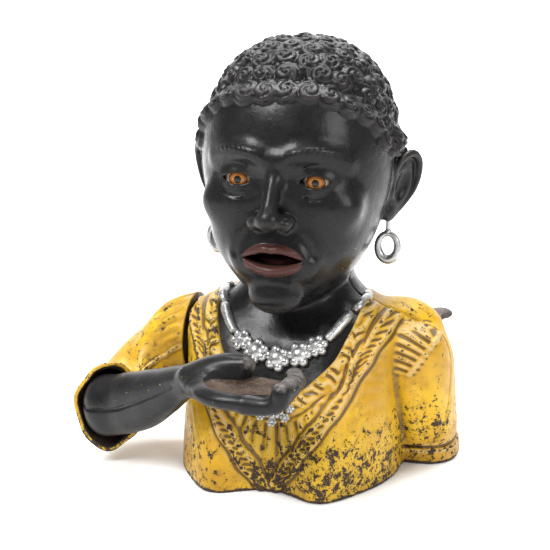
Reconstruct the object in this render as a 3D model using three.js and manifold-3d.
// A cast-iron mechanical bank: a hollow bust in two bolted halves. Pressing the thumb lever behind the
// left shoulder turns a rock shaft, which lifts the right arm and its coin to the mouth, flips the tongue
// back and rolls the eyes up. Coins leave by a swinging cover in the base.
// Millimetres, +Z up. The bust faces -Y and its own left is +X.
import * as THREE from "three";
import { mergeVertices } from "three/addons/utils/BufferGeometryUtils.js";
import Module from "manifold-3d";

const wasm = await Module();
wasm.setup();

// ---- Driving dimensions -------------------------------------------------------------------------

const WALL = 3; // thickness of the castings
const SIDES = [-1, 1];
const GAP = 0.3; // between pieces that lie against each other
const RUN = 0.15; // around pins and shafts, on the radius
const SWING = THREE.MathUtils.degToRad(38); // travel of the lever, arm, tongue and eyes

// Torso: half width, reach forward and reach back at rising heights.
const TORSO = [
  { z: 0, half: 43, front: 41, back: 31 },
  { z: 16, half: 42.5, front: 39.5, back: 32 },
  { z: 32, half: 41.5, front: 35.5, back: 32.5 },
  { z: 44, half: 42, front: 31, back: 31 },
  { z: 53, half: 43, front: 27, back: 27 },
  { z: 60, half: 40, front: 22, back: 24.5 },
  { z: 65, half: 31, front: 18, back: 25 },
  { z: 70, half: 21, front: 14, back: 26 },
];
const TORSO_POWER = 2.6;
const BUST = { x: 21.5, forward: 10.5, spread: 12, z: 8, rise: 30 };
const SIDE_X = -40; // flat side that the moving sleeve turns against

// The still left sleeve, leaning back toward its foot.
const STUB = { x: 46, y: 17, lean: 0.32, half: 15.5, depth: 16, top: 58, power: 2.6, dome: 8 };

const SHOULDER = { at: [40, 9, 49], half: [17, 14, 15.5] }; // fullness behind the left sleeve
const LEVER = { x: [47.6, 51.8], pad: { y: 36, z: 50.6 } };

const NECK = { y: 6, radius: 22, from: 50, to: 88 };

const HEAD_TILT = THREE.MathUtils.degToRad(5); // chin up
const HEAD = { y: 3, z: 113 }; // the head's own origin, level with the eyes
const SKULL = { y: 4, z: 9, half: 37, depth: 42.5, height: 43.5, power: 2.25, taper: 0 };
const HEAD_BLEND = 0.12; // softness where skull and face meet
const FACE = { y: -7, z: -14, half: 31, depth: 31, height: 36.5, power: 2.4, taper: 0.42 };
const EAR = { x: 34.5, y: 9, z: -3, thick: 4, depth: 8, height: 13.5 };

const EYE = { x: 14.5, y: -28.5, radius: 6.2 };
const LID = { radius: 7.7, socket: 6.6, wide: 6.6, tall: 3.4 };
const MOUTH = { z: -28.6, wide: 12, tall: 4.1, depth: 9 };

const EARRING = { x: 33.8, y: 8, z: 84.5, radius: 3.8, wire: 1.4, tall: 1.35, hook: 98 };

const ARM_AXIS = { y: 0, z: 50 };
const SHAFT_AXIS = { y: 10.5, z: 44 };
const TONGUE_AXIS = { y: -6.5, z: 84.5 };
const CRANK = 10.5; // throw of the three cranks on the head rod
const LINK_CRANK = 9; // throw of the two cranks on the arm link
const LINK_RADIUS = 4.2;
const CRANK_HUB = 4.6;

// Where the flat pieces of the linkage lie, from the bust's right to its left.
const ARM_CRANK_PLANE = { from: -31.2, to: -28.8 };
const LINK_PLANE = { from: -28.2, to: -23.2 };
const LINK_CRANK_PLANE = { from: -22.8, to: -20.4 };
const ROD_CRANK_PLANE = { from: 9.4, to: 11.8 };
const ROD_PLANE = { from: 13.2, to: 15.2 };

const SHAFT_RADIUS = 2;
const SHAFT_LUGS = [
  [-19, -15],
  [34, 38],
];
const PIN_RADIUS = 1.3;
const ARM_STUB = { radius: 4.8, end: -32 };
const SPIGOT = { radius: 3, end: -28.6 }; // the crank's seat at the end of the stub
const ARM_SCREW = { radius: 1.1, from: -32.5, head: 3.9, under: -28.3, top: -26.9 };

const SCREWS = { x: 31, z: 14, boss: 5, shank: 2 };
const PLATE = { bottom: 3, top: 5.2, screws: [{ x: 0, y: -33 }, { x: -16, y: 21 }] };
const TRAP = { x: -4, y: -6, hole: 11.5, cover: 13.5, pivotX: 13 };

// ---- Finishes -----------------------------------------------------------------------------------

const finish = (color, roughness, metalness) =>
  new THREE.MeshStandardMaterial({ color, roughness, metalness });
const YELLOW = finish(0xc8921c, 0.5, 0.0);
const BLACK = finish(0x1b191a, 0.35, 0.0);
const SILVER = finish(0xb9b9b5, 0.35, 0.8);
const IRON = finish(0x55504c, 0.6, 0.7);
const STEEL = finish(0x8d8d8d, 0.35, 0.9);
const AMBER = finish(0xc56a1c, 0.3, 0.0);
const ROSE = finish(0x6d3430, 0.5, 0.0);

// ---- Solids from three.js geometry --------------------------------------------------------------

function solid(geometry) {
  const bare = geometry.index ? geometry.toNonIndexed() : geometry.clone();
  bare.deleteAttribute("normal");
  bare.deleteAttribute("uv");
  const merged = mergeVertices(bare, 1e-4);
  const mesh = new wasm.Mesh({
    numProp: 3,
    vertProperties: merged.attributes.position.array,
    triVerts: new Uint32Array(merged.index.array),
  });
  return new wasm.Manifold(mesh);
}

function geometryOf(shape) {
  const mesh = shape.getMesh();
  return new THREE.BufferGeometry()
    .setAttribute("position", new THREE.BufferAttribute(mesh.vertProperties, 3))
    .setIndex(new THREE.BufferAttribute(mesh.triVerts, 1));
}

const join = (...shapes) => shapes.reduce((whole, next) => whole.add(next));

// Moves every vertex of a geometry by a rule that edits it in place.
function reshape(geometry, rule) {
  const places = geometry.attributes.position;
  const at = new THREE.Vector3();
  for (let i = 0; i < places.count; i++) {
    rule(at.fromBufferAttribute(places, i));
    places.setXYZ(i, at.x, at.y, at.z);
  }
  return geometry;
}

function block(x, y, z) {
  return solid(
    new THREE.BoxGeometry(x[1] - x[0], y[1] - y[0], z[1] - z[0]).translate(
      (x[0] + x[1]) / 2,
      (y[0] + y[1]) / 2,
      (z[0] + z[1]) / 2,
    ),
  );
}

// A rod between two points, narrowing if its radii differ.
function rod(from, to, radius, endRadius = radius, sides = 16) {
  const start = new THREE.Vector3(...from);
  const along = new THREE.Vector3(...to).sub(start);
  const turn = new THREE.Quaternion().setFromUnitVectors(
    new THREE.Vector3(0, 1, 0),
    along.clone().normalize(),
  );
  const geometry = new THREE.CylinderGeometry(endRadius, radius, along.length(), sides)
    .applyQuaternion(turn)
    .translate(...start.addScaledVector(along, 0.5).toArray());
  return solid(geometry);
}

const rodAlongX = (x, axis, radius, sides = 16) =>
  rod([x[0], axis.y, axis.z], [x[1], axis.y, axis.z], radius, radius, sides);

function ball(centre, radii, columns = 20, rows = 14) {
  return solid(
    new THREE.SphereGeometry(1, columns, rows).scale(...radii).translate(...centre),
  );
}

// A closed body through rings. ring(share, angle) gives a point, with share 0 at the first ring.
function loft(ring, sides, rows) {
  const geometry = new THREE.CylinderGeometry(1, 1, 1, sides, rows);
  return solid(
    reshape(geometry, (at) => {
      const share = at.y + 0.5;
      const isRim = Math.hypot(at.x, at.z) > 0.5;
      const middle = ring(share, 0).add(ring(share, Math.PI)).multiplyScalar(0.5);
      at.copy(isRim ? ring(share, Math.atan2(-at.z, at.x)) : middle);
    }),
  );
}

const superX = (angle, power) =>
  Math.sign(Math.cos(angle)) * Math.abs(Math.cos(angle)) ** (2 / power);
const superY = (angle, power) =>
  Math.sign(Math.sin(angle)) * Math.abs(Math.sin(angle)) ** (2 / power);

// One measure of the stations at a height between them, along a smooth curve.
function measure(stations, key, z) {
  const curve = new THREE.SplineCurve(
    stations.map((station) => new THREE.Vector2(station[key], station.z)),
  );
  const last = stations.length - 1;
  const above = Math.max(1, stations.findIndex((station) => station.z >= z - 1e-6));
  const low = stations[above - 1].z;
  const share = (above - 1 + (z - low) / (stations[above].z - low)) / last;
  return curve.getPoint(THREE.MathUtils.clamp(share, 0, 1)).x;
}

// A flat bar with round ends between two crank centres, cut from the plane x[0] to x[1].
function bar(x, from, to, radiusFrom, radiusTo = radiusFrom) {
  const shape = new THREE.Shape();
  const heading = Math.atan2(to.z - from.z, to.y - from.y);
  const lean = Math.asin((radiusFrom - radiusTo) / Math.hypot(to.y - from.y, to.z - from.z));
  const side = Math.PI / 2 - lean;
  shape.absarc(from.y, from.z, radiusFrom, heading + side, heading - side + 2 * Math.PI);
  shape.absarc(to.y, to.z, radiusTo, heading - side, heading + side);
  return sheetAcross(shape, x);
}

// Extrudes a shape drawn in (y, z) along x.
function sheetAcross(shape, x) {
  const geometry = new THREE.ExtrudeGeometry(shape, {
    depth: x[1] - x[0],
    bevelEnabled: false,
    curveSegments: 8,
  });
  const toYZ = new THREE.Matrix4().makeBasis(
    new THREE.Vector3(0, 1, 0),
    new THREE.Vector3(0, 0, 1),
    new THREE.Vector3(1, 0, 0),
  );
  return solid(geometry.applyMatrix4(toYZ).translate(x[0], 0, 0));
}

// ---- Linkage geometry ---------------------------------------------------------------------------

// A crank's end at rest. Its swing is even about the angle in the middle, in the (y, z) plane.
function crankEnd(axis, middle, length) {
  const angle = middle + SWING / 2;
  return { y: axis.y + length * Math.cos(angle), z: axis.z + length * Math.sin(angle) };
}

const linkMiddle =
  Math.atan2(ARM_AXIS.z - SHAFT_AXIS.z, ARM_AXIS.y - SHAFT_AXIS.y) + Math.PI / 2;
const EYE_AXIS = {
  y: HEAD.y + EYE.y * Math.cos(HEAD_TILT),
  z: HEAD.z - EYE.y * Math.sin(HEAD_TILT),
};
const SHAFT_ROD_PIN = crankEnd(SHAFT_AXIS, 0, CRANK);
const TONGUE_ROD_PIN = crankEnd(TONGUE_AXIS, 0, CRANK);
const EYE_ROD_PIN = crankEnd(EYE_AXIS, 0, CRANK);
const SHAFT_LINK_PIN = crankEnd(SHAFT_AXIS, linkMiddle, LINK_CRANK);
const ARM_LINK_PIN = crankEnd(ARM_AXIS, linkMiddle, LINK_CRANK);

// ---- Bust ---------------------------------------------------------------------------------------

function torso(inset, sides, rows, bottom) {
  const top = TORSO.at(-1).z;
  return loft(
    (share, angle) => {
      const z = bottom + (top - bottom) * share;
      const half = measure(TORSO, "half", z) - inset;
      const reach = measure(TORSO, angle < 0 || angle > Math.PI ? "front" : "back", z) - inset;
      const x = half * superX(angle, TORSO_POWER);
      const y = reach * superY(angle, TORSO_POWER);
      const side = (Math.abs(x) - BUST.x) / BUST.spread;
      const lift = (z - BUST.z) / BUST.rise;
      const swell = y < 0 ? BUST.forward * Math.exp(-side * side - lift * lift) : 0;
      return new THREE.Vector3(x, y - swell * Math.min(1, -y / reach / 0.6), z);
    },
    sides,
    rows,
  );
}

function leftSleeve(inset, sides, rows, bottom) {
  return loft(
    (share, angle) => {
      const z = bottom + (STUB.top - inset - bottom) * Math.sin((share * Math.PI) / 2);
      const dome = Math.sqrt(1 - (z / (STUB.top - inset + 0.3)) ** STUB.dome);
      const x = STUB.x + (STUB.half - inset) * dome * superX(angle, STUB.power);
      const y = STUB.y - STUB.lean * z + (STUB.depth - inset) * dome * superY(angle, STUB.power);
      return new THREE.Vector3(x, y, z);
    },
    sides,
    rows,
  );
}

const leftShoulder = (inset) => ball(SHOULDER.at, SHOULDER.half.map((half) => half - inset));

function neck(inset, sides) {
  return loft(
    (share, angle) => {
      const radius = NECK.radius - inset;
      const z = NECK.from + (NECK.to - NECK.from) * share;
      return new THREE.Vector3(
        radius * Math.cos(angle),
        NECK.y + radius * Math.sin(angle),
        z,
      );
    },
    sides,
    1,
  );
}

// Puts a solid made in the head's own frame into the bust.
function toHead(shape) {
  return shape
    .rotate([THREE.MathUtils.radToDeg(-HEAD_TILT), 0, 0])
    .translate([0, HEAD.y, HEAD.z]);
}

// How far outside a boxy ellipsoid a point lies, as a share of its size: negative within.
function beyond(form, inset, at) {
  const below = Math.max(0, (form.z - at.z) / form.height);
  const narrow = 1 - form.taper * below * below;
  const x = at.x / (form.half * narrow - inset);
  const y = (at.y - form.y) / (form.depth - inset);
  const z = (at.z - form.z) / (form.height - inset);
  const size = [x, y, z].reduce((sum, part) => sum + Math.abs(part) ** form.power, 0);
  return size ** (1 / form.power) - 1;
}

// Skull and face blended into one skin, found along each ray from the head's own origin.
function headForm(inset, columns, rows) {
  const geometry = new THREE.SphereGeometry(1, columns, rows).rotateX(Math.PI / 2);
  return solid(
    reshape(geometry, (ray) => {
      const isOutside = (reach) => {
        const at = ray.clone().multiplyScalar(reach);
        const [a, b] = [beyond(SKULL, inset, at), beyond(FACE, inset, at)];
        const mix = Math.max(0, HEAD_BLEND - Math.abs(a - b)) / HEAD_BLEND;
        return Math.min(a, b) - (mix * mix * HEAD_BLEND) / 4 > 0;
      };
      let [inside, outside] = [0, 80];
      for (let step = 0; step < 24; step++) {
        const middle = (inside + outside) / 2;
        [inside, outside] = isOutside(middle) ? [inside, middle] : [middle, outside];
      }
      ray.multiplyScalar(inside);
    }),
  );
}

function nose() {
  const ridge = rod([0, -36.5, 5], [0, -39.5, -13], 2.4, 3.8, 12);
  const tip = ball([0, -39.8, -14], [4.6, 5, 4.2], 14, 8);
  const wings = SIDES.map((side) => ball([4.4 * side, -37, -14.6], [3.8, 4.4, 3.4], 12, 8));
  return join(ridge, tip, ...wings);
}

function lipsAndChin() {
  const lips = ball([0, -34.6, MOUTH.z], [15, 6, 7.4], 20, 10);
  const chin = ball([0, -27.5, -42], [11, 8.5, 7.5], 14, 8);
  return lips.add(chin);
}

function ear(side) {
  const shell = ball([0, 0, 0], [EAR.thick, EAR.depth, EAR.height], 12, 8);
  const bowl = ball([side * 3.4, -2.2, 1], [3.2, 4.6, 8], 10, 6);
  return shell
    .subtract(bowl)
    .rotate([-8, side * 10, side * 16])
    .translate([side * EAR.x, EAR.y, EAR.z]);
}

function headOutside() {
  const lids = SIDES.map((side) =>
    ball([EYE.x * side, EYE.y, 0], [LID.radius, LID.radius, LID.radius], 16, 10),
  );
  return toHead(
    join(headForm(0, 30, 22), nose(), lipsAndChin(), ear(-1), ear(1), ...lids),
  );
}

function headHollow() {
  return toHead(headForm(WALL, 20, 14)).add(neck(WALL, 18));
}

// Holes through the face for the eyes and the coin, each with room for what moves in it.
function faceHoles() {
  const sockets = SIDES.flatMap((side) => [
    ball([EYE.x * side, EYE.y, 0], [LID.socket, LID.socket, LID.socket], 18, 12),
    ball([EYE.x * side, EYE.y - LID.radius, 0], [LID.wide, 6, LID.tall], 16, 10),
  ]);
  const middle = FACE.y - FACE.depth;
  const mouth = rod([0, middle - 6, 0], [0, middle + MOUTH.depth, 0], 1, 1, 20)
    .scale([MOUTH.wide, 1, MOUTH.tall])
    .translate([0, 0, MOUTH.z]);
  return toHead(join(mouth, ...sockets));
}

// An ear inside a casting that carries a pin or shaft.
const lug = (x, axis, reach, radius) =>
  block(x, reach.y, reach.z).add(rodAlongX(x, axis, radius));

const around = (centre, half) => [centre - half, centre + half];
const mirrored = (side, near, far) => [near * side, far * side].sort((a, b) => a - b);

function frontLugs(outside) {
  const eyeLugs = SIDES.map((side) => {
    const reach = { y: [EYE_AXIS.y - 12, EYE_AXIS.y], z: around(EYE_AXIS.z, 2.6) };
    return lug(mirrored(side, 5.4, 7.9), EYE_AXIS, reach, 2.6);
  });
  const tongueLugs = SIDES.map((side) => {
    const reach = { y: around(TONGUE_AXIS.y, 2.6), z: around(TONGUE_AXIS.z, 2.6) };
    return lug(mirrored(side, 16.4, 30), TONGUE_AXIS, reach, 2.6);
  });
  const bosses = SIDES.map((side) =>
    rod([SCREWS.x * side, -60, SCREWS.z], [SCREWS.x * side, -GAP / 2, SCREWS.z], SCREWS.boss),
  );
  const [screw] = PLATE.screws;
  const plateLug = block(around(screw.x, 5), [-60, screw.y + 4], [PLATE.top + GAP, 15]);
  return join(...eyeLugs, ...tongueLugs, ...bosses, plateLug).intersect(outside);
}

function backLugs(outside) {
  const reach = { y: [SHAFT_AXIS.y, 60], z: around(SHAFT_AXIS.z, 4) };
  const shaftLugs = SHAFT_LUGS.map((x) => lug(x, SHAFT_AXIS, reach, 4));
  const bosses = SIDES.map((side) =>
    rod([SCREWS.x * side, GAP / 2, SCREWS.z], [SCREWS.x * side, 60, SCREWS.z], SCREWS.boss),
  );
  const screw = PLATE.screws[1];
  const plateLug = block(around(screw.x, 5), [screw.y - 4, 60], [PLATE.top + GAP, 15]);
  return join(...shaftLugs, ...bosses, plateLug).intersect(outside);
}

function runningHoles() {
  return join(
    rodAlongX([-24, 24], EYE_AXIS, PIN_RADIUS + RUN, 12),
    rodAlongX([-20.3, 20.3], TONGUE_AXIS, PIN_RADIUS + RUN, 12),
    rodAlongX([-24, 56], SHAFT_AXIS, SHAFT_RADIUS + RUN, 14),
    rodAlongX([SIDE_X - 5, SIDE_X + 12], ARM_AXIS, ARM_STUB.radius + RUN, 20),
    ...SIDES.map((side) => {
      const x = EARRING.x * side;
      return rod([x, EARRING.y, 88], [x, EARRING.y, EARRING.hook + 0.5], 1.15, 1.15, 10);
    }),
  );
}

function screwHoles() {
  const long = SIDES.map((side) => {
    const at = (y) => [SCREWS.x * side, y, SCREWS.z];
    const head = rod(at(23.6), at(60), 4.2);
    return rod(at(-14.5), at(60), SCREWS.shank + GAP / 2).add(head);
  });
  const short = PLATE.screws.map(({ x, y }) => rod([x, y, 0], [x, y, 13.5], 1.7, 1.7, 12));
  return join(...long, ...short);
}

// The tab at the crown that hooks the halves together: rooted in the front, free of the back.
function crownTab() {
  const hollow = toHead(headForm(WALL + 3, 20, 14));
  const root = block([-5, 5], [-10, -1], [140, 170]).intersect(toHead(headForm(WALL - 1, 20, 14)));
  const tab = block([-5, 5], [-10, 7], [140, 170]);
  return root.add(tab.intersect(toHead(headForm(WALL + 0.8, 20, 14)))).subtract(hollow);
}

function bustHalves() {
  const sideCut = (x) => block([-90, x], [-60, 60], [-5, 75]);
  const outside = join(
    torso(0, 40, 12, 0),
    leftSleeve(0, 22, 7, 0),
    leftShoulder(0),
    neck(0, 24),
    headOutside(),
  ).subtract(sideCut(SIDE_X));
  const cavity = join(
    torso(WALL, 28, 8, -1),
    leftSleeve(WALL, 16, 5, -1),
    leftShoulder(WALL),
    headHollow(),
  ).subtract(sideCut(SIDE_X + WALL));
  const collar = rodAlongX([SIDE_X + WALL - 1, SIDE_X + WALL + 3], ARM_AXIS, 8, 20);
  const shell = outside.subtract(cavity).add(collar);
  const half = (y) => shell.intersect(block([-90, 90], y, [-5, 190]));
  const slot = block([LEVER.x[0] - 0.8, LEVER.x[1] + 0.8], [5, 34], [33.2, 51.8]);
  const holes = join(faceHoles(), screwHoles(), runningHoles());
  return {
    front: join(half([-90, -GAP / 2]), frontLugs(outside), crownTab()).subtract(holes),
    back: half([GAP / 2, 90]).add(backLugs(outside)).subtract(holes.add(slot)),
  };
}

// ---- Base and its cover -------------------------------------------------------------------------

function basePlate() {
  const floor = block([-90, 90], [-90, 90], [PLATE.bottom, PLATE.top]);
  const blank = join(torso(WALL + GAP, 28, 8, -1), leftSleeve(WALL + GAP, 16, 5, -1))
    .subtract(block([-90, SIDE_X + WALL + GAP], [-60, 60], [-5, 75]))
    .intersect(floor);
  const openings = join(
    rod([TRAP.x, TRAP.y, 0], [TRAP.x, TRAP.y, 10], TRAP.hole, TRAP.hole, 28),
    rod([TRAP.pivotX, TRAP.y, 0], [TRAP.pivotX, TRAP.y, 10], 1.8, 1.8, 12),
    ...PLATE.screws.map(({ x, y }) => rod([x, y, 0], [x, y, 10], 2.2, 2.2, 12)),
  );
  return blank.subtract(openings);
}

function trapCover() {
  const from = { x: TRAP.x, y: TRAP.y };
  const shape = new THREE.Shape();
  const arm = TRAP.pivotX - TRAP.x;
  const side = Math.acos((TRAP.cover - 4.5) / arm);
  shape.absarc(from.x, from.y, TRAP.cover, side, 2 * Math.PI - side);
  shape.absarc(TRAP.pivotX, from.y, 4.5, -side, side);
  const plate = new THREE.ExtrudeGeometry(shape, {
    depth: 1.5,
    bevelEnabled: false,
    curveSegments: 14,
  }).translate(0, 0, PLATE.bottom - GAP - 1.5);
  const hole = rod([TRAP.pivotX, TRAP.y, 0], [TRAP.pivotX, TRAP.y, 6], 1.8, 1.8, 12);
  const lift = rod([TRAP.x - 9, TRAP.y, 0.5], [TRAP.x - 9, TRAP.y, 1.6], 1.6, 2.2, 12);
  return solid(plate).subtract(hole).add(lift);
}

function trapRivet() {
  const at = (z) => [TRAP.pivotX, TRAP.y, z];
  return join(
    rod(at(0.3), at(0.9), 2.4, 3, 14),
    rod(at(0.8), at(PLATE.top + 1), 1.5, 1.5, 12),
    rod(at(PLATE.top + GAP), at(PLATE.top + 1.4), 3, 2.4, 14),
  );
}

// ---- Screws -------------------------------------------------------------------------------------

function longScrew(side) {
  const x = SCREWS.x * side;
  const at = (y) => [x, y, SCREWS.z];
  const blank = rod(at(-13.5), at(24.5), SCREWS.shank - 0.05).add(rod(at(24), at(26.6), 3.9, 3.6));
  return blank.subtract(block(around(x, 6), [25.6, 30], around(SCREWS.z, 0.5)));
}

function plateScrew({ x, y }) {
  const shank = rod([x, y, 1.8], [x, y, 12.8], 1.4, 1.4, 12);
  const head = rod([x, y, 0.9], [x, y, PLATE.bottom - GAP], 3.4, 3.6, 14);
  return shank.add(head).subtract(block(around(x, 5), around(y, 0.4), [0, 1.7]));
}

// ---- Right arm ----------------------------------------------------------------------------------

// Rings of the sleeve from the shoulder to the cuff: centre, the way it faces, and its half sizes.
const SLEEVE = [
  { at: [-43, 0, 46.5], facing: [-1, 0, 0], wide: 18, tall: 16.5 },
  { at: [-50.5, -1, 43.5], facing: [-1, -0.1, -0.5], wide: 17, tall: 15.5 },
  { at: [-58.5, -5, 36.5], facing: [-1, -0.4, -0.8], wide: 15.5, tall: 13.8 },
  { at: [-65, -14, 28], facing: [-0.75, -1.2, -0.75], wide: 13.6, tall: 13.4 },
  { at: [-67.3, -24, 23.3], facing: [0.05, -1.2, -0.15], wide: 13, tall: 16 },
  { at: [-67, -30, 23.2], facing: [0.35, -1, 0.1], wide: 13.2, tall: 17.6 },
];

// A point on the sleeve. Past share 1 it runs straight on out of the cuff.
function sleeveRing(share, angle, inset) {
  const path = (read) =>
    new THREE.CatmullRomCurve3(SLEEVE.map((ring) => new THREE.Vector3(...read(ring)))).getPoint(
      Math.min(1, share),
    );
  const sizes = path((ring) => [ring.wide, ring.tall, 0]);
  const facing = path((ring) => ring.facing).normalize();
  const across = new THREE.Vector3(0, 0, 1).cross(facing).normalize();
  const up = facing.clone().cross(across);
  return path((ring) => ring.at)
    .addScaledVector(facing, Math.max(0, share - 1) * 40)
    .addScaledVector(across, (sizes.x - inset) * Math.cos(angle))
    .addScaledVector(up, (sizes.y - inset) * Math.sin(angle));
}

const FOREARM = [
  { at: [-71.5, -22, 22], wide: 5.8, tall: 7 },
  { at: [-63, -32, 25.3], wide: 6.8, tall: 10.5 },
  { at: [-48.5, -40, 31], wide: 7.5, tall: 11 },
  { at: [-38, -46.5, 37.5], wide: 7, tall: 9 },
  { at: [-29.5, -52, 43.5], wide: 6.5, tall: 6.5 },
  { at: [-21, -57.5, 46.5], wide: 7.5, tall: 5.5 },
];
const ELBOW = { y: -21, z: 21.5 };
const ELBOW_END = { at: [-70, -26.5, 23.4], half: [7, 8, 10.2] };

const elbowHole = () => rodAlongX([-90, -63], ELBOW, 1.8, 12);

function rightSleeve() {
  const outer = loft((share, angle) => sleeveRing(share, angle, 0), 24, 12);
  const inner = loft((share, angle) => sleeveRing(0.3 + 0.78 * share, angle, 2.2), 18, 8);
  const stub = rodAlongX([SIDE_X - 6, ARM_STUB.end], ARM_AXIS, ARM_STUB.radius, 20);
  const spigot = rodAlongX([ARM_STUB.end - 1, SPIGOT.end], ARM_AXIS, SPIGOT.radius, 12);
  const tapping = rodAlongX([ARM_STUB.end - 1, -20], ARM_AXIS, 1.4, 10);
  return outer.subtract(inner).add(stub).add(spigot).subtract(elbowHole().add(tapping));
}

// A round-ended bar between two points.
function capsule(from, to, radius) {
  const start = new THREE.Vector3(...from);
  const along = new THREE.Vector3(...to).sub(start);
  const turn = new THREE.Quaternion().setFromUnitVectors(
    new THREE.Vector3(0, 1, 0),
    along.clone().normalize(),
  );
  const geometry = new THREE.CapsuleGeometry(radius, along.length(), 2, 8)
    .applyQuaternion(turn)
    .translate(...start.addScaledVector(along, 0.5).toArray());
  return solid(geometry);
}

function forearm() {
  const path = (read) =>
    new THREE.CatmullRomCurve3(FOREARM.map((ring) => new THREE.Vector3(...read(ring))));
  const centre = path((ring) => ring.at);
  const sizes = path((ring) => [ring.wide, ring.tall, 0]);
  return loft(
    (share, angle) => {
      const facing = centre.getTangent(share);
      const across = new THREE.Vector3(0, 0, 1).cross(facing).normalize();
      const up = facing.clone().cross(across);
      const size = sizes.getPoint(share);
      return centre
        .getPoint(share)
        .addScaledVector(across, size.x * Math.cos(angle))
        .addScaledVector(up, size.y * Math.sin(angle));
    },
    16,
    9,
  );
}

function fingers() {
  return [0, 1, 2, 3].map((i) => {
    const y = -77 + i * 5.6;
    const reach = 18 - Math.abs(i - 1.6) * 1.6;
    const joint = [11.5, y - 0.5, 48];
    return capsule([3, y, 47], joint, 3).add(capsule(joint, [reach - 2, y - 1, 51.5], 2.7));
  });
}

function forearmAndHand() {
  const palm = ball([-4, -67.5, 47], [16.5, 12.5, 5], 18, 10);
  const heel = ball([-16.5, -61, 46.5], [9, 8.5, 5.6], 12, 8);
  const well = ball([0, -67.8, 51.9], [15, 9.6, 4.4], 16, 8);
  const thumb = join(
    capsule([-19, -59.5, 48.5], [-9, -58, 52], 3.8),
    capsule([-9, -58, 52], [-3.5, -59, 53], 3),
  );
  const elbow = ball(ELBOW_END.at, ELBOW_END.half, 16, 10);
  return join(forearm(), elbow, palm, heel, ...fingers())
    .subtract(well)
    .add(thumb)
    .subtract(elbowHole());
}

function elbowRivet() {
  const shank = rodAlongX([-81.5, -66.5], ELBOW, 1.5, 12);
  return shank.add(rod([-82.4, ELBOW.y, ELBOW.z], [-81.3, ELBOW.y, ELBOW.z], 2.2, 3, 12));
}

// ---- Lever, shaft, cranks and rods --------------------------------------------------------------

const pinHole = (x, at) => rodAlongX([x[0] - 1, x[1] + 1], at, PIN_RADIUS + RUN, 12);

function armCrank() {
  const x = [ARM_CRANK_PLANE.from, ARM_CRANK_PLANE.to];
  const plate = bar(x, ARM_AXIS, ARM_LINK_PIN, 6.2, 3.2);
  const pin = rodAlongX([x[1] - 1, LINK_PLANE.to + 0.5], ARM_LINK_PIN, PIN_RADIUS, 12);
  return plate.add(pin).subtract(rodAlongX([-33, -20], ARM_AXIS, SPIGOT.radius + RUN, 12));
}

function armCrankScrew() {
  const { radius, from, head, under, top } = ARM_SCREW;
  const shank = rodAlongX([from, top - 0.1], ARM_AXIS, radius, 10);
  const slot = block([top - 0.6, top + 1], around(ARM_AXIS.y, 5), around(ARM_AXIS.z, 0.4));
  return shank.add(rodAlongX([under, top], ARM_AXIS, head, 16)).subtract(slot);
}

function linkCrank() {
  const x = [LINK_CRANK_PLANE.from, LINK_CRANK_PLANE.to];
  const plate = bar(x, SHAFT_AXIS, SHAFT_LINK_PIN, CRANK_HUB, 3.2);
  const pin = rodAlongX([LINK_PLANE.from - 0.4, x[0] + 1], SHAFT_LINK_PIN, PIN_RADIUS, 12);
  return plate.add(pin).subtract(rodAlongX([-30, -15], SHAFT_AXIS, SHAFT_RADIUS + RUN, 12));
}

function armLink() {
  const x = [LINK_PLANE.from, LINK_PLANE.to];
  const plate = bar(x, SHAFT_LINK_PIN, ARM_LINK_PIN, LINK_RADIUS);
  return plate.subtract(join(pinHole(x, SHAFT_LINK_PIN), pinHole(x, ARM_LINK_PIN)));
}

function rodCrank() {
  const x = [ROD_CRANK_PLANE.from, ROD_CRANK_PLANE.to];
  const plate = bar(x, SHAFT_AXIS, SHAFT_ROD_PIN, CRANK_HUB, 3);
  const pin = rodAlongX([x[1] - 1, ROD_PLANE.to + 0.6], SHAFT_ROD_PIN, PIN_RADIUS, 12);
  return plate.add(pin).subtract(rodAlongX([0, 20], SHAFT_AXIS, SHAFT_RADIUS + RUN, 12));
}

function headRod() {
  const x = [ROD_PLANE.from, ROD_PLANE.to];
  const pins = [SHAFT_ROD_PIN, TONGUE_ROD_PIN, EYE_ROD_PIN];
  const eyes = pins.map((pin) => rodAlongX(x, pin, 3.1, 16));
  const strips = [0, 1].map((i) => bar(x, pins[i], pins[i + 1], 1.8));
  return join(...strips, ...eyes).subtract(join(...pins.map((pin) => pinHole(x, pin))));
}

function rockShaft() {
  return rodAlongX([LINK_CRANK_PLANE.from, LEVER.x[1] + 0.5], SHAFT_AXIS, SHAFT_RADIUS, 14);
}

function thumbLever() {
  const { x, pad } = LEVER;
  const blade = bar(x, SHAFT_AXIS, pad, 4.4, 2);
  const paddle = ball([50.5, pad.y + 1.5, pad.z + 0.4], [5, 5, 2.2], 16, 10);
  return blade.add(paddle).subtract(rodAlongX([40, 60], SHAFT_AXIS, SHAFT_RADIUS + RUN, 12));
}

// ---- Tongue and eyes ----------------------------------------------------------------------------

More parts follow.
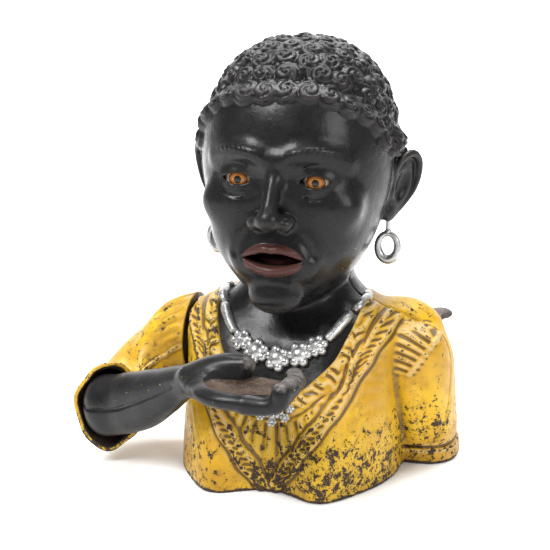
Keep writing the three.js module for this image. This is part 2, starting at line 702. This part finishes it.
function tongue() {
  const half = 9.4;
  const tip = -30.4;
  const shape = new THREE.Shape();
  shape.moveTo(-half, TONGUE_AXIS.y);
  shape.lineTo(-half, tip + half);
  shape.absarc(0, tip + half, half, Math.PI, 2 * Math.PI);
  shape.lineTo(half, TONGUE_AXIS.y);
  shape.closePath();
  const blade = new THREE.ExtrudeGeometry(shape, {
    depth: 2.6,
    bevelEnabled: false,
    curveSegments: 8,
  }).translate(0, 0, TONGUE_AXIS.z - 1.3);
  const hub = rodAlongX([-16, 12.6], TONGUE_AXIS, 3.2, 16);
  const crank = bar([10.2, 12.6], TONGUE_AXIS, TONGUE_ROD_PIN, 3.2, 3);
  const pin = rodAlongX([11, ROD_PLANE.to + 0.6], TONGUE_ROD_PIN, PIN_RADIUS, 12);
  return join(solid(blade), hub, crank, pin).subtract(
    rodAlongX([-20, 20], TONGUE_AXIS, PIN_RADIUS + RUN, 12),
  );
}

function eyeball(side) {
  const at = [EYE.x * side, EYE_AXIS.y, EYE_AXIS.z];
  const globe = ball(at, [EYE.radius, EYE.radius, EYE.radius], 20, 14);
  return globe.subtract(rodAlongX([-30, 30], EYE_AXIS, PIN_RADIUS + RUN, 12));
}

function eyeCrank() {
  const hub = rodAlongX([-5, 5], EYE_AXIS, 2.6, 14);
  const plate = bar([2.6, 5], EYE_AXIS, EYE_ROD_PIN, 2.6, 2.4);
  const pin = rodAlongX([4, ROD_PLANE.to + 0.6], EYE_ROD_PIN, PIN_RADIUS, 12);
  return join(hub, plate, pin).subtract(rodAlongX([-9, 9], EYE_AXIS, PIN_RADIUS + RUN, 12));
}

const eyeAxle = () => rodAlongX([-19, 19], EYE_AXIS, PIN_RADIUS, 12);
const tonguePin = () => rodAlongX([-20, 20], TONGUE_AXIS, PIN_RADIUS, 12);

// ---- Earrings -----------------------------------------------------------------------------------

function earring(side) {
  const { x, y, z, radius, wire, tall, hook } = EARRING;
  const ring = new THREE.TorusGeometry(radius, wire, 8, 18)
    .scale(1, tall, 1)
    .rotateX(Math.PI / 2)
    .translate(x * side, y, z);
  return solid(ring).add(rod([x * side, y, z + radius * tall], [x * side, y, hook], 0.9, 0.9, 10));
}

// ---- Assembly -----------------------------------------------------------------------------------

const bank = new THREE.Group();

function place(name, shape, material) {
  const piece = new THREE.Mesh(geometryOf(shape), material);
  piece.name = name;
  bank.add(piece);
}

const halves = bustHalves();
place("front_shell", halves.front, YELLOW);
place("back_shell", halves.back, YELLOW);
place("base_plate", basePlate(), IRON);
place("trap_cover", trapCover(), IRON);
place("trap_rivet", trapRivet(), STEEL);
place("case_screw_left", longScrew(1), STEEL);
place("case_screw_right", longScrew(-1), STEEL);
place("plate_screw_front", plateScrew(PLATE.screws[0]), STEEL);
place("plate_screw_back", plateScrew(PLATE.screws[1]), STEEL);
place("earring_left", earring(1), SILVER);
place("earring_right", earring(-1), SILVER);
place("eye_axle", eyeAxle(), STEEL);
place("tongue_pin", tonguePin(), STEEL);
place("right_sleeve", rightSleeve(), YELLOW);
place("forearm_and_hand", forearmAndHand(), BLACK);
place("elbow_rivet", elbowRivet(), IRON);
place("arm_crank", armCrank(), IRON);
place("arm_crank_screw", armCrankScrew(), STEEL);
place("thumb_lever", thumbLever(), IRON);
place("rock_shaft", rockShaft(), STEEL);
place("link_crank", linkCrank(), IRON);
place("rod_crank", rodCrank(), IRON);
place("arm_link", armLink(), STEEL);
place("head_rod", headRod(), STEEL);
place("tongue", tongue(), ROSE);
place("eye_crank", eyeCrank(), IRON);
place("eyeball_left", eyeball(1), AMBER);
place("eyeball_right", eyeball(-1), AMBER);

// The origin is the middle of the whole bank's outline, on the table.
const middle = new THREE.Box3().setFromObject(bank).getCenter(new THREE.Vector3());
bank.position.set(-middle.x, -middle.y, 0);

export default bank;
